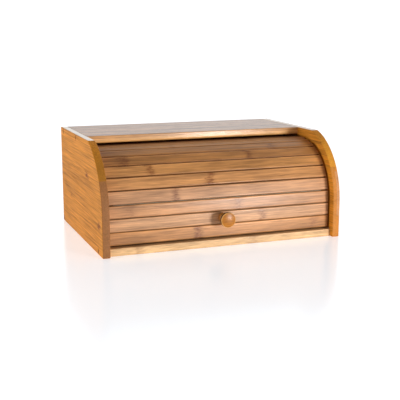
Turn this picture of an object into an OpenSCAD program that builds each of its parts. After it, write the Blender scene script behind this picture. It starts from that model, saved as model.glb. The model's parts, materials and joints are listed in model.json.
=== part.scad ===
// Bread box with a slatted roll top. Two grooved side panels carry a curtain of
// bamboo slats on a cloth backing. Units are millimetres.
// Origin: centre of the footprint, on the table. +X right, +Y back, +Z up.

/* [Cabinet] */
// Overall width over the side panels
body_w = 400; // [300:5:480]
// Overall depth of the side panels
body_d = 285; // [236:1:345]
// Overall height
body_h = 168; // [139:1:205]
// Radius that the curtain's bend is laid out from, in from the front and the top
corner_r = 108; // [88:1:118]
// Distance from the front back to the corner where a side panel's curve meets its flat top
shoulder_d = 80.5; // [76:0.5:100]
// Thickness of each side panel
side_t = 12; // [9:0.5:16]
// Thickness of the top and bottom panels
board_t = 12; // [9:0.5:16]
// Thickness of the back panel
back_t = 8; // [5:0.5:12]
// How far the bottom panel's front edge stands behind the side panels' front edge
rail_setback = 8.5; // [4:0.5:12]
// How far the top panel's front edge stands behind the bend's centre
lid_setback = 24; // [10:1:30]

/* [Curtain] */
// Thickness of a slat
slat_t = 5; // [4:0.2:7]
// Open line between one slat and the next
slat_gap = 0.4; // [0.3:0.1:0.8]
// Radius of a slat's two eased front edges
slat_edge_r = 2; // [0.8:0.1:2.4]
// Air between the slats and the underside of the top panel
lid_gap = 4; // [2.5:0.5:6]
// Clearance between a slat's end and the side panel
end_gap = 1; // [0.6:0.1:2]
// Curtain length that lies flat behind the bend, counted in slats
tail_slats = 2.09; // [2.05:0.01:2.5]
// Thickness of the cloth backing
cloth_t = 0.8; // [0.4:0.1:1.2]
// How far the cloth stays inside the slat ends
cloth_inset = 10; // [6:1:30]

/* [Groove] */
// Depth of the groove in each side panel
groove_depth = 5; // [3:0.5:6]
// Groove clearance in front of the slats
groove_front = 3.5; // [1.5:0.1:4]
// Groove clearance behind the slats
groove_rear = 1; // [0.8:0.1:2]
// How far the end tongues of the rear slats reach into the groove
tongue_reach = 4; // [2:0.5:5]

/* [Knob] */
// Diameter of the knob's face
knob_d = 24; // [18:1:30]
// How far the knob stands off its slat
knob_h = 24; // [18:1:30]
// Diameter of the knob's neck
neck_d = 12; // [9:1:15]
// Diameter of the knob screw's shank
screw_d = 4; // [3:0.5:5]

/* [Staples] */
// Length of a staple's crown
crown_len = 8; // [6:0.5:9]
// Thickness of the staple wire
wire_t = 1.2; // [0.8:0.1:1.5]
// Length of a staple's legs
leg_len = 25; // [20:1:30]

/* [Hidden] */
$fn = 96;
slat_count = 11;
inner_w = body_w - 2 * side_t;
front_y = -body_d / 2;
back_y = body_d / 2;
// Centre line of the bend, shared by the groove and the slats
bend_y = front_y + corner_r;
bend_z = body_h - corner_r;
// A side panel's curve leaves the front upright at the bend's height and ends at the shoulder
shoulder_y = front_y + shoulder_d;
shoulder_r = (pow(shoulder_d, 2) + pow(corner_r, 2)) / (2 * shoulder_d);
// Radii about the bend centre
face_r = corner_r - board_t - lid_gap;
hinge_r = face_r - slat_t;
groove_out_r = face_r + groove_front;
groove_in_r = hinge_r - groove_rear;
// The curtain stands a little above the bottom panel
foot_gap = 2;
foot_z = board_t + foot_gap;
rise_len = bend_z - foot_z;
bend_len = hinge_r * PI / 2;
slat_pitch = (rise_len + bend_len) / (slat_count - tail_slats);
cloth_gap = 0.6;
front_slat_len = inner_w - 2 * end_gap;
rear_slat_len = inner_w + 2 * tongue_reach;
cloth_len = front_slat_len - 2 * cloth_inset;
lid_front_y = bend_y + lid_setback;
// The knob sits on the second slat from the bottom
knob_slat = 1;
screw_head_d = 2 * screw_d;
screw_head_h = 0.6 * screw_d;
screw_reach = 14;
screw_fit = 0.05;
// Staple positions along the depth of the panels
lid_staples = [back_y - 21, (lid_front_y + back_y) / 2 - 43];
floor_staples = [back_y - 7, front_y + 27];
staple_sink = 0.3;

// Point [y, z] on the curtain's flex line at a path length s above the curtain's foot
function track(s) =
    s < rise_len ? [bend_y - hinge_r, foot_z + s]
    : s < rise_len + bend_len ? bend_point((s - rise_len) / hinge_r * 180 / PI)
    : [bend_y + s - rise_len - bend_len, bend_z + hinge_r];

// Point on the bend at a turn of a degrees from the front
function bend_point(a) = [bend_y - hinge_r * cos(a), bend_z + hinge_r * sin(a)];

// Path length one slat further on, by repeated correction of the straight distance
function next_s(s, guess, tries) =
    tries == 0 ? guess
    : next_s(s, guess + slat_pitch - norm(track(guess) - track(s)), tries - 1);

// Path length of the k-th flex line
function hinge_s(k) = k == 0 ? 0 : let (s = hinge_s(k - 1)) next_s(s, s + slat_pitch, 24);

hinges = [for (k = [0 : slat_count]) track(hinge_s(k))];

// Turn of slat k, from its lower flex line to its upper one
function slat_turn(k) =
    atan2(hinges[k + 1][1] - hinges[k][1], hinges[k + 1][0] - hinges[k][0]);

// Extrudes a side-view outline along X from x0 to x1
module between(x0, x1) {
    translate([x0, 0, 0])
        rotate([90, 0, 90])
            linear_extrude(x1 - x0)
                children();
}

// Puts children drawn along the slat's width (X of the 2D outline) on slat k
module on_slat(k) {
    translate([0, hinges[k][0], hinges[k][1]])
        rotate([slat_turn(k), 0, 0])
            children();
}

// Rectangle with corners at [y0, z0] and [y1, z1]
module block_2d(y0, z0, y1, z1) {
    translate([y0, z0])
        square([y1 - y0, z1 - z0]);
}

// Side-view outline of a side panel
module side_outline() {
    block_2d(front_y, 0, back_y, bend_z);
    block_2d(shoulder_y, 0, back_y, body_h);
    intersection() {
        translate([front_y + shoulder_r, bend_z])
            circle(r = shoulder_r, $fn = 180);
        block_2d(front_y, bend_z, shoulder_y, body_h);
    }
}

// Side-view outline of the groove: up the front, round the bend and back under the top
module groove_outline() {
    block_2d(bend_y - groove_out_r, board_t, bend_y - groove_in_r, bend_z);
    block_2d(bend_y, bend_z + groove_in_r, back_y - back_t, bend_z + groove_out_r);
    intersection() {
        difference() {
            translate([bend_y, bend_z])
                circle(r = groove_out_r, $fn = 180);
            translate([bend_y, bend_z])
                circle(r = groove_in_r, $fn = 180);
        }
        block_2d(front_y, bend_z, bend_y, body_h);
    }
}

// One staple through the left panel, its crown upright at [y, z]
module staple(y, z) {
    x0 = -body_w / 2 + staple_sink;
    translate([x0, y - wire_t / 2, z - crown_len / 2])
        cube([wire_t, wire_t, crown_len]);
    for (end = [-1, 1]) {
        translate([x0, y - wire_t / 2, z + end * (crown_len - wire_t) / 2 - wire_t / 2])
            cube([leg_len, wire_t, wire_t]);
    }
}

// Slot that the staple leaves between its crown and the panel's outer face
module staple_mark(y, z) {
    translate([-body_w / 2 - 1, y - wire_t / 2, z - crown_len / 2])
        cube([1 + staple_sink, wire_t, crown_len]);
}

module staple_set() {
    for (y = lid_staples) {
        staple(y, body_h - board_t / 2);
    }
    for (y = floor_staples) {
        staple(y, board_t / 2);
    }
}

module staple_marks() {
    for (y = lid_staples) {
        staple_mark(y, body_h - board_t / 2);
    }
    for (y = floor_staples) {
        staple_mark(y, board_t / 2);
    }
}

// Left side panel with its groove and its staples' slots
module side_panel() {
    difference() {
        between(-body_w / 2, -inner_w / 2)
            side_outline();
        between(-inner_w / 2 - groove_depth, -inner_w / 2 + 1)
            groove_outline();
        staple_set();
        staple_marks();
    }
}

module side_panel_left() {
    color([0.82, 0.56, 0.33])
        side_panel();
}

module side_panel_right() {
    color([0.82, 0.56, 0.33])
        mirror([1, 0, 0])
            side_panel();
}

// Both sides' staples, to be cut out of a panel that lies between them
module staple_holes() {
    staple_set();
    mirror([1, 0, 0])
        staple_set();
}

module top_panel() {
    color([0.85, 0.62, 0.42])
        difference() {
            between(-inner_w / 2, inner_w / 2)
                block_2d(lid_front_y, body_h - board_t, back_y, body_h);
            staple_holes();
        }
}

module bottom_panel() {
    color([0.93, 0.75, 0.52])
        difference() {
            between(-inner_w / 2, inner_w / 2)
                block_2d(front_y + rail_setback, 0, back_y, board_t);
            staple_holes();
        }
}

module back_panel() {
    color([0.85, 0.62, 0.42])
        between(-inner_w / 2, inner_w / 2)
            block_2d(back_y - back_t, board_t, back_y, body_h - board_t);
}

// Cross-section of a slat: the flex line at the origin, the show face at +Z
module slat_outline() {
    r = slat_edge_r;
    w = slat_pitch - slat_gap;
    translate([slat_gap / 2, 0]) {
        square([w, slat_t - r]);
        translate([r, 0])
            square([w - 2 * r, slat_t]);
        translate([r, slat_t - r])
            circle(r = r, $fn = 32);
        translate([w - r, slat_t - r])
            circle(r = r, $fn = 32);
    }
}

module slat(k) {
    len = k >= slat_count - 2 ? rear_slat_len : front_slat_len;
    color([0.79, 0.57, 0.38])
        difference() {
            on_slat(k)
                between(-len / 2, len / 2)
                    slat_outline();
            if (k == knob_slat) {
                on_slat(k)
                    translate([0, slat_pitch / 2, -1])
                        cylinder(d = screw_d + 2 * screw_fit, h = slat_t + 2);
            }
        }
}

// Strip of the cloth backing that is glued to slat k
module cloth(k) {
    color([0.82, 0.78, 0.68])
        on_slat(k)
            difference() {
                between(-cloth_len / 2, cloth_len / 2)
                    block_2d(cloth_gap / 2, -cloth_t, slat_pitch - cloth_gap / 2, 0);
                if (k == knob_slat) {
                    translate([0, slat_pitch / 2, -cloth_t - 1])
                        cylinder(d = screw_d + 2 * screw_fit, h = cloth_t + 2);
                }
            }
}

// Half-section of the knob, standing on its slat at z = 0: a foot, a waist and a head
// with a cove turned round it and a slightly domed face
module knob_outline() {
    head_t = 0.4 * knob_h;
    head_z = knob_h - head_t;
    rim_r = 0.06 * knob_h;
    foot_r = 0.36 * knob_d;
    foot_t = 0.1 * knob_h;
    flare_d = head_z - foot_t;
    dome_r = 1.5 * knob_d;
    cove_r = 0.09 * knob_h;
    rim_x = knob_d / 2 - rim_r;
    // The rim's rounding touches the dome from inside
    rim_z = knob_h - dome_r + sqrt(pow(dome_r - rim_r, 2) - pow(rim_x, 2));
    difference() {
        union() {
            square([foot_r, head_z]);
            translate([0, foot_t + flare_d / 2])
                square([rim_x, flare_d / 2 + rim_r]);
        }
        translate([neck_d / 2 + flare_d / 2, foot_t + flare_d / 2])
            circle(d = flare_d, $fn = 64);
    }
    difference() {
        intersection() {
            union() {
                translate([0, head_z])
                    square([rim_x, head_t]);
                translate([0, head_z + rim_r])
                    square([knob_d / 2, rim_z - head_z - rim_r]);
                for (z = [head_z + rim_r, rim_z])
                    translate([rim_x, z])
                        circle(r = rim_r, $fn = 48);
            }
            translate([0, knob_h - dome_r])
                circle(r = dome_r, $fn = 180);
        }
        translate([knob_d / 2 + cove_r / 4, (head_z + rim_r + rim_z) / 2])
            circle(r = cove_r, $fn = 48);
    }
}

module knob() {
    color([0.79, 0.54, 0.24])
        on_slat(knob_slat)
            translate([0, slat_pitch / 2, slat_t])
                difference() {
                    rotate_extrude()
                        intersection() {
                            knob_outline();
                            square([knob_d, knob_h]);
                        }
                    translate([0, 0, -1])
                        cylinder(d = screw_d + 2 * screw_fit, h = 1 + screw_reach + screw_fit);
                }
}

module knob_screw() {
    color([0.7, 0.7, 0.68])
        on_slat(knob_slat)
            translate([0, slat_pitch / 2, -cloth_t]) {
                cylinder(d = screw_d, h = cloth_t + slat_t + screw_reach);
                difference() {
                    translate([0, 0, -screw_head_h])
                        cylinder(d = screw_head_d, h = screw_head_h);
                    translate([-screw_head_d / 2 - 1, -0.5, -screw_head_h - 1])
                        cube([screw_head_d + 2, 1, 1 + screw_head_h / 2]);
                }
            }
}

module staples_left() {
    color([0.45, 0.42, 0.38])
        staple_set();
}

module staples_right() {
    color([0.45, 0.42, 0.38])
        mirror([1, 0, 0])
            staple_set();
}

side_panel_left();
side_panel_right();
top_panel();
bottom_panel();
back_panel();
slat(0);  // slat_01
slat(1);  // slat_02
slat(2);  // slat_03
slat(3);  // slat_04
slat(4);  // slat_05
slat(5);  // slat_06
slat(6);  // slat_07
slat(7);  // slat_08
slat(8);  // slat_09
slat(9);  // slat_10
slat(10);  // slat_11
cloth(0);  // cloth_01
cloth(1);  // cloth_02
cloth(2);  // cloth_03
cloth(3);  // cloth_04
cloth(4);  // cloth_05
cloth(5);  // cloth_06
cloth(6);  // cloth_07
cloth(7);  // cloth_08
cloth(8);  // cloth_09
cloth(9);  // cloth_10
cloth(10);  // cloth_11
knob();
knob_screw();
staples_left();
staples_right();
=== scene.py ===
"""Bread box with a slatted roll top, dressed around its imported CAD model.

Everything is in metres in the CAD frame: +X runs right along the slats, +Y runs to the
back, +Z is up, and the origin is the centre of the footprint on the table.
"""

import json
import logging
import math
from dataclasses import dataclass, field, replace
from enum import Enum

import bmesh
import bpy
import numpy as np
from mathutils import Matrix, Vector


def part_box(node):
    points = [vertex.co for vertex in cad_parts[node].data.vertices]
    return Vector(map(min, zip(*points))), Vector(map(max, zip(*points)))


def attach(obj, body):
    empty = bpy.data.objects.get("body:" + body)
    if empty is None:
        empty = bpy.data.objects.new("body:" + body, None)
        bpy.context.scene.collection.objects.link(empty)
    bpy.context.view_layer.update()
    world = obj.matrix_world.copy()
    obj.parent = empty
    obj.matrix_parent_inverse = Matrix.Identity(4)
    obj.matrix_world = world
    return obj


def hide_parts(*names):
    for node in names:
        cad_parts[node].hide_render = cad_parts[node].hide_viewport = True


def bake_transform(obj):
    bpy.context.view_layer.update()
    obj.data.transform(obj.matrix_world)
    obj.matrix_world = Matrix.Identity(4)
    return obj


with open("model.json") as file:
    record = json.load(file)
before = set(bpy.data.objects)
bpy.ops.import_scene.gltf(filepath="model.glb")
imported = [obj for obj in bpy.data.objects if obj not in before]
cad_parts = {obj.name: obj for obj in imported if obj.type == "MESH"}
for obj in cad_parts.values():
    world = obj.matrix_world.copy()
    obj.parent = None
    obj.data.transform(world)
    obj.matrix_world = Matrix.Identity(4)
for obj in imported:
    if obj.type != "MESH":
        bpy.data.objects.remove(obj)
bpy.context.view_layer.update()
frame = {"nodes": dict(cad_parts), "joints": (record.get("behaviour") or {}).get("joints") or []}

log = logging.getLogger("bread_box")

MM = 0.001
TAU = 2.0 * math.pi

Tree = bpy.types.NodeTree
# What feeds a socket: an output, or a node whose first output in use is meant.
Source = bpy.types.Node | bpy.types.NodeSocket

# Plain noise hardly ever leaves this range, which is spread to fill zero to one.
NOISE_RANGE = (0.28, 0.72)
# How squarely a face looks along an axis, from where an effect starts to where it is full.
TOP_FACING = (0.97, 0.992)
END_FACING = (0.35, 0.75)
# How far in a ring that holds an end face flat is drawn, in radii of the face's edge.
END_HOLD = 1.5


# ---------------------------------------------------------------- colour and nodes


def linear(hex_colour: str) -> tuple[float, float, float, float]:
    """Turn an sRGB hex colour into linear RGBA.

    Args:
        hex_colour: Six hex digits.

    Returns:
        Linear red, green, blue and an alpha of one.
    """
    srgb = np.array([int(hex_colour[i:i + 2], 16) for i in (0, 2, 4)]) / 255.0
    value = np.where(srgb <= 0.04045, srgb / 12.92, ((srgb + 0.055) / 1.055) ** 2.4)
    return (float(value[0]), float(value[1]), float(value[2]), 1.0)


def feed(tree: Tree, node: bpy.types.Node, inputs: dict) -> None:
    """Set or link some of a node's inputs.

    Args:
        tree: The node tree.
        node: The node to feed.
        inputs: Socket name or number to a value, to the output socket that feeds it, or to
            a node that feeds it from the first of its outputs in use.
    """
    for key, value in inputs.items():
        if isinstance(value, bpy.types.Node):
            value = next(output for output in value.outputs if output.enabled)
        if isinstance(value, bpy.types.NodeSocket):
            tree.links.new(value, node.inputs[key])
        else:
            node.inputs[key].default_value = value


def add_node(tree: Tree, kind: str, inputs: dict | None = None,
             stops: tuple[tuple[float, tuple], ...] = (), **settings: object
             ) -> bpy.types.Node:
    """Add one shader node with its settings, values and links.

    Args:
        tree: The node tree.
        kind: What follows ShaderNode in the node type's name.
        inputs: The inputs to set or link, as for feed.
        stops: For a colour ramp, the position and the colour of each stop.
        **settings: Attributes to set on the node itself.

    Returns:
        The new node.
    """
    node = tree.nodes.new("ShaderNode" + kind)
    for name, value in settings.items():
        setattr(node, name, value)
    for number, (position, colour) in enumerate(stops):
        node.color_ramp.elements[number].position = position
        node.color_ramp.elements[number].color = colour
    feed(tree, node, inputs or {})
    return node


def blank_material(name: str) -> tuple[bpy.types.Material, Tree, bpy.types.Node]:
    """Make a material that holds only a Principled shader and its output.

    Args:
        name: The material's name, which says what the real surface is.

    Returns:
        The material, its node tree and its Principled node.
    """
    material = bpy.data.materials.new(name)
    material.use_nodes = True
    tree = material.node_tree
    tree.nodes.clear()
    shader = add_node(tree, "BsdfPrincipled")
    add_node(tree, "OutputMaterial", {"Surface": shader})
    return material, tree, shader


class Grain(Enum):
    """The axis that the bamboo fibres run along, and how the strips lie side by side."""

    ALONG_X = "x, strips laid flat"
    ALONG_Y = "y, strips one above another"
    UPRIGHT_X = "x, strips one above another"


@dataclass(frozen=True)
class Knot:
    """One knuckle of the cane: a stained patch, placed along and across the strips."""

    along: float
    across: float = 0.0
    half_length: float = 12.0 * MM
    half_width: float = 0.0
    strength: float = 1.0


@dataclass(frozen=True)
class Bamboo:
    """Caramelised bamboo, planed into strips, edge-glued, sanded and sprayed with satin lacquer.

    What that gives the eye: strips of slightly different tan, short dashes of fibre that
    run lengthwise, a mottled knuckle here and there, and a soft sheen over it all. Sizes of
    noises are lengths along and across the fibres.
    """

    name: str
    tone: str
    grain: Grain
    contrast: float = 0.42
    strip: float = 20.0 * MM
    strip_origin: float = 0.0
    tone_spread: float = 0.3
    dash_length: float = 20.0 * MM
    dash_width: float = 1.3 * MM
    band_size: tuple[float, float] = (220.0 * MM, 5.0 * MM)
    cloud_size: tuple[float, float] = (70.0 * MM, 18.0 * MM)
    dashes: float = 0.75
    bands: float = 0.45
    clouds: float = 0.4
    roughness: float = 0.45
    roughness_below: float = 0.06
    roughness_above: float = 0.08
    specular: float = 0.4
    coat: float = 0.12
    coat_roughness: float = 0.22
    refraction: float = 1.5
    relief: float = 0.12 * MM
    relief_strength: float = 0.35
    seed: float = 0.0
    seed_strips: float = 7.0
    seed_slide: float = 0.61
    strip_slide: float = 3.7
    knots: tuple[Knot, ...] = ()
    knot_scatter: float = 0.0
    knot_shade: tuple[float, float, float, float] = (0.36, 0.22, 0.15, 1.0)
    fleck_size: tuple[float, float] = (4.5 * MM, 1.9 * MM)
    fleck_gain: float = 1.05
    fleck_floor: float = 0.12
    wander_size: tuple[float, float] = (30.0 * MM, 5.0 * MM)
    wander: float = 1.1
    cut_low: str = ""
    cut_high: str = ""
    cut_split_height: float = 75.0 * MM
    # A paler, pinker painted sheen on the front edge of the outer ply, over a length of it.
    sheen_tone: str = ""
    sheen_x_inner: float = 194.5 * MM
    sheen_z_middle: float = 72.0 * MM
    sheen_z_half: float = 36.0 * MM
    # A pale painted highlight on the upward rim faces, whose real gloss is top_coat.
    top_highlight_tone: str = ""
    top_limit: float = 200.5 * MM
    top_coat: float = 1.0
    # A painted shade along a slat's lower edge, and a painted highlight along its upper edge.
    eased_width: float = 0.0
    edge_shade: float = 0.85
    edge_shade_tone: str = "4A2810"
    edge_shade_width: float = 2.0 * MM
    highlight_inset: float = 1.9 * MM
    highlight_width: float = 1.5 * MM
    highlight_lift: float = 0.32

    def build(self) -> bpy.types.Material:
        """Build the procedural material.

        The fibres run along u, v runs across the strips and w through them. A strip's number
        is floor(v / strip), and a random value for it shifts its tone and slides its fibres
        along u. Dashes, bands and clouds are three noises stretched along u. Their weighted
        sum and the strip's tone give one level, which a ramp turns into the colour. The
        knots mix a dark tone in over it; each strip slides them along by its own random
        share of knot_scatter.

        Returns:
            The finished material.
        """
        material, tree, shader = blank_material(self.name)
        split = add_node(tree, "SeparateXYZ", {0: add_node(tree, "TexCoord").outputs["Object"]})
        axes = {Grain.ALONG_X: "XYZ", Grain.ALONG_Y: "YZX", Grain.UPRIGHT_X: "XZY"}
        along, across, third = (split.outputs[axis] for axis in axes[self.grain])

        number = add_node(tree, "Math", {0: across, 1: self.strip_origin}, operation="SUBTRACT")
        number = add_node(tree, "Math", {0: number, 1: self.strip}, operation="DIVIDE")
        number = add_node(tree, "Math", {0: number, 1: self.seed * self.seed_strips},
                          operation="ADD")
        number = add_node(tree, "Math", {0: number}, operation="FLOOR")
        tone = add_node(tree, "TexWhiteNoise", {"W": number}, noise_dimensions="1D")
        slide = add_node(tree, "Math", {
            0: tone, 1: self.strip_slide, 2: self.seed * self.seed_slide},
            operation="MULTIPLY_ADD")
        slid = add_node(tree, "Math", {0: along, 1: slide}, operation="ADD")

        # Real vessels are 0.3 mm wide, too fine to show, so the dashes are drawn much wider.
        place = (slid, across, third)
        dash = self._fibres(tree, place, (self.dash_length, self.dash_width), 3.0)
        band = self._fibres(tree, place, self.band_size, 2.0)
        cloud = self._fibres(tree, place, self.cloud_size, 2.0)
        level = add_node(tree, "Math", {
            0: tone, 1: self.tone_spread, 2: 0.5 - 0.5 * self.tone_spread},
            operation="MULTIPLY_ADD")
        for source, share in ((dash, self.dashes), (band, self.bands), (cloud, self.clouds)):
            part = add_node(tree, "Math", {0: source, 1: share, 2: -0.5 * share},
                            operation="MULTIPLY_ADD")
            level = add_node(tree, "Math", {0: level, 1: part}, operation="ADD")
        middle = np.array(linear(self.tone))
        light = np.minimum(middle[:3] * (1.0 + self.contrast), 0.95)
        dark = middle[:3] * (1.0 - self.contrast) * np.array([1.0, 0.94, 0.86])
        colour = add_node(tree, "ValToRGB", {"Fac": level}, stops=(
            (0.0, (*light, 1.0)), (1.0, (*dark, 1.0))))

        feed(tree, shader, {
            "IOR": self.refraction, "Specular IOR Level": self.specular,
            "Coat Weight": self.coat, "Coat Roughness": self.coat_roughness})
        if self.knots:
            drift = add_node(tree, "Math", {
                0: tone, 1: self.knot_scatter, 2: -0.5 * self.knot_scatter},
                operation="MULTIPLY_ADD")
            spot = add_node(tree, "Math", {0: along, 1: drift}, operation="ADD")
            colour = add_node(tree, "Mix", {
                "Factor": self._stains(tree, (spot, across, third)), "A": colour,
                "B": tuple(middle * np.array(self.knot_shade))}, data_type="RGBA")
        # Painted shade along each slat's lower edge and a painted highlight along its upper edge.
        if self.eased_width:
            colour = self._painted_edge_light(tree, shader, colour)
        if self.cut_low:
            colour = self._cut_ends(tree, colour, level)
        # Painted sheen on part of the front edge.
        if self.sheen_tone:
            colour = add_node(tree, "Mix", {
                "Factor": self._painted_sheen_patch(tree), "A": colour,
                "B": self._shaded(tree, linear(self.sheen_tone)[:3], level)}, data_type="RGBA")
        # Pale painted highlight on the upward rim faces, which also take a heavier real coat.
        if self.top_highlight_tone:
            side = add_node(tree, "Math", {0: third}, operation="ABSOLUTE")
            side = add_node(tree, "Math", {0: side, 1: self.top_limit}, operation="LESS_THAN")
            share = add_node(tree, "Math", {
                0: self._facing(tree, "Z", *TOP_FACING), 1: side}, operation="MULTIPLY")
            colour = add_node(tree, "Mix", {
                "Factor": share, "A": colour,
                "B": self._shaded(tree, linear(self.top_highlight_tone)[:3], level)}, data_type="RGBA")
            feed(tree, shader, {"Coat Weight": add_node(tree, "Math", {
                0: share, 1: self.top_coat - self.coat, 2: self.coat},
                operation="MULTIPLY_ADD")})

        relief = add_node(tree, "Math", {0: dash, 1: band}, operation="ADD")
        feed(tree, shader, {
            "Base Color": colour,
            "Roughness": add_node(tree, "MapRange", {
                "Value": dash, "To Min": self.roughness - self.roughness_below,
                "To Max": self.roughness + self.roughness_above}),
            "Normal": add_node(tree, "Bump", {
                "Strength": self.relief_strength, "Distance": self.relief, "Height": relief})})
        return material

    @staticmethod
    def _fibres(tree: Tree, place: tuple[Source, ...], size: tuple[float, float],
                detail: float) -> Source:
        """Noise stretched along the fibres and spread to fill zero to one.

        Args:
            tree: The material's node tree.
            place: Positions along the fibres, across the strips and through them, in metres.
            size: A noise cell's size along the fibres and across them.
            detail: How many octaves the noise has.

        Returns:
            A value around one half.
        """
        scaled = [add_node(tree, "Math", {0: part, 1: 1.0 / cell}, operation="MULTIPLY")
                  for part, cell in zip(place, (size[0], size[1], size[1]))]
        noise = add_node(tree, "TexNoise", {
            "Vector": add_node(tree, "CombineXYZ", dict(enumerate(scaled))),
            "Scale": 1.0, "Detail": detail, "Roughness": 0.6})
        low, high = NOISE_RANGE
        return add_node(tree, "MapRange", {"Value": noise, "From Min": low, "From Max": high})

    def _stains(self, tree: Tree, place: tuple[Source, ...]) -> Source:
        """The knuckles' stain: a soft patch round each knot, broken into short flecks.

        Args:
            tree: The material's node tree.
            place: Positions along the fibres, across the strips and through them, in metres.

        Returns:
            The share of the knots' dark tone.
        """
        flecks = self._fibres(tree, place, self.fleck_size, 3.0)
        wander = self._fibres(tree, place, self.wander_size, 2.0)
        total = None
        for knot in self.knots:
            reach = self.wander * knot.half_length
            shift = add_node(tree, "Math", {0: wander, 1: reach, 2: -0.5 * reach},
                             operation="MULTIPLY_ADD")
            spot = add_node(tree, "Math", {0: place[0], 1: shift}, operation="ADD")
            patch = self._falloff(tree, spot, knot.along, knot.half_length)
            if knot.half_width:
                patch = add_node(tree, "Math", {
                    0: patch, 1: self._falloff(tree, place[1], knot.across, knot.half_width)},
                    operation="MULTIPLY")
            patch = add_node(tree, "Math", {0: patch, 1: knot.strength}, operation="MULTIPLY")
            total = patch if total is None else add_node(
                tree, "Math", {0: total, 1: patch}, operation="MAXIMUM")
        flecks = add_node(tree, "Math", {0: flecks, 1: self.fleck_gain, 2: self.fleck_floor},
                          operation="MULTIPLY_ADD")
        return add_node(tree, "Math", {0: total, 1: flecks}, operation="MULTIPLY")

    @staticmethod
    def _falloff(tree: Tree, at: Source, middle: float, half: float) -> Source:
        """One at the middle, falling smoothly to zero at half's distance from it."""
        gap = add_node(tree, "Math", {0: at, 1: middle}, operation="SUBTRACT")
        gap = add_node(tree, "Math", {0: gap}, operation="ABSOLUTE")
        return add_node(tree, "MapRange", {
            "Value": gap, "From Min": 0.0, "From Max": half, "To Min": 1.0, "To Max": 0.0},
            interpolation_type="SMOOTHSTEP")

    def _painted_edge_light(self, tree: Tree, shader: bpy.types.Node, colour: Source) -> Source:
        """Paint shade along a slat's lower edge and a highlight along its upper edge.

        The slat's UV gives the distance across its face from its lower edge, in metres. Under the
        painted shade the sheen is turned down as well as the colour darkened.

        Args:
            tree: The material's node tree.
            shader: The Principled node, whose sheen fades under the painted shade.
            colour: The colour so far.

        Returns:
            The colour with its two edges changed.
        """
        up = add_node(tree, "SeparateXYZ", {
            0: add_node(tree, "UVMap", uv_map="strip")}).outputs["Y"]
        # Painted shade along the slat's lower edge.
        stain_and_shade = add_node(tree, "Math", {
            0: self._falloff(tree, up, 0.0, self.edge_shade_width), 1: self.edge_shade},
            operation="MULTIPLY")
        for name, full in (("Specular IOR Level", self.specular), ("Coat Weight", self.coat)):
            feed(tree, shader, {name: add_node(
                tree, "Math", {0: stain_and_shade, 1: -full, 2: full}, operation="MULTIPLY_ADD")})
        # Painted highlight along the slat's upper edge.
        painted_highlight = self._falloff(tree, up, self.eased_width - self.highlight_inset,
                               self.highlight_width)
        lift = add_node(tree, "Math", {0: painted_highlight, 1: self.highlight_lift, 2: 1.0},
                        operation="MULTIPLY_ADD")
        colour = add_node(tree, "VectorMath", {0: colour, "Scale": lift}, operation="SCALE")
        return add_node(tree, "Mix", {
            "Factor": stain_and_shade, "A": colour, "B": linear(self.edge_shade_tone)}, data_type="RGBA")

    def _painted_sheen_patch(self, tree: Tree) -> Source:
        """One on the front edge of a panel's outer ply, over the length that takes a painted sheen.
        """
        place = add_node(tree, "SeparateXYZ", {0: add_node(tree, "TexCoord").outputs["Object"]})
        outer = add_node(tree, "Math", {0: place.outputs["X"]}, operation="ABSOLUTE")
        outer = add_node(tree, "Math", {0: outer, 1: self.sheen_x_inner}, operation="GREATER_THAN")
        span = add_node(tree, "Math", {0: place.outputs["Z"], 1: self.sheen_z_middle},
                        operation="SUBTRACT")
        span = add_node(tree, "Math", {0: span}, operation="ABSOLUTE")
        span = add_node(tree, "Math", {0: span, 1: self.sheen_z_half}, operation="LESS_THAN")
        both = add_node(tree, "Math", {0: outer, 1: span}, operation="MULTIPLY")
        return add_node(tree, "Math", {0: both, 1: self._facing(tree, "Y", *END_FACING)},
                        operation="MULTIPLY")

    @staticmethod
    def _facing(tree: Tree, axis: str, low: float, high: float) -> Source:
        """One where the surface faces along an axis, zero where it faces well away from it.

        Args:
            tree: The material's node tree.
            axis: X, Y or Z. Z counts upward faces only, the others count both ways.
            low: The normal's part along the axis up to which the value is zero.
            high: The part from which it is one.

        Returns:
            The value from zero to one.
        """
        facing = add_node(tree, "SeparateXYZ", {
            0: add_node(tree, "TexCoord").outputs["Normal"]}).outputs[axis]
        if axis != "Z":
            facing = add_node(tree, "Math", {0: facing}, operation="ABSOLUTE")
        return add_node(tree, "MapRange", {"Value": facing, "From Min": low, "From Max": high})

    def _cut_ends(self, tree: Tree, colour: Source, level: Source) -> Source:
        """Tint a board's sawn front and back edges, which take up lacquer differently.

        Above and below a set height the edges have a tone each.

        Args:
            tree: The material's node tree.
            colour: The colour so far.
            level: The wood's own light to dark level, which still shows faintly.

        Returns:
            The colour with its sawn edges tinted.
        """
        place = add_node(tree, "SeparateXYZ", {0: add_node(tree, "TexCoord").outputs["Object"]})
        above = add_node(tree, "Math", {0: place.outputs["Z"], 1: self.cut_split_height},
                         operation="GREATER_THAN")
        tone = add_node(tree, "Mix", {
            "Factor": above, "A": linear(self.cut_low), "B": linear(self.cut_high)},
            data_type="RGBA")
        return add_node(tree, "Mix", {
            "Factor": self._facing(tree, "Y", *END_FACING), "A": colour,
            "B": self._shaded(tree, tone, level)}, data_type="RGBA")

    @staticmethod
    def _shaded(tree: Tree, tone: Source | tuple[float, float, float], level: Source) -> Source:
        """A tone made up to a third lighter or darker by the wood's own level."""
        shade = add_node(tree, "MapRange", {"Value": level, "To Min": 1.3, "To Max": 0.7})
        return add_node(tree, "VectorMath", {0: tone, "Scale": shade}, operation="SCALE")


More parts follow.
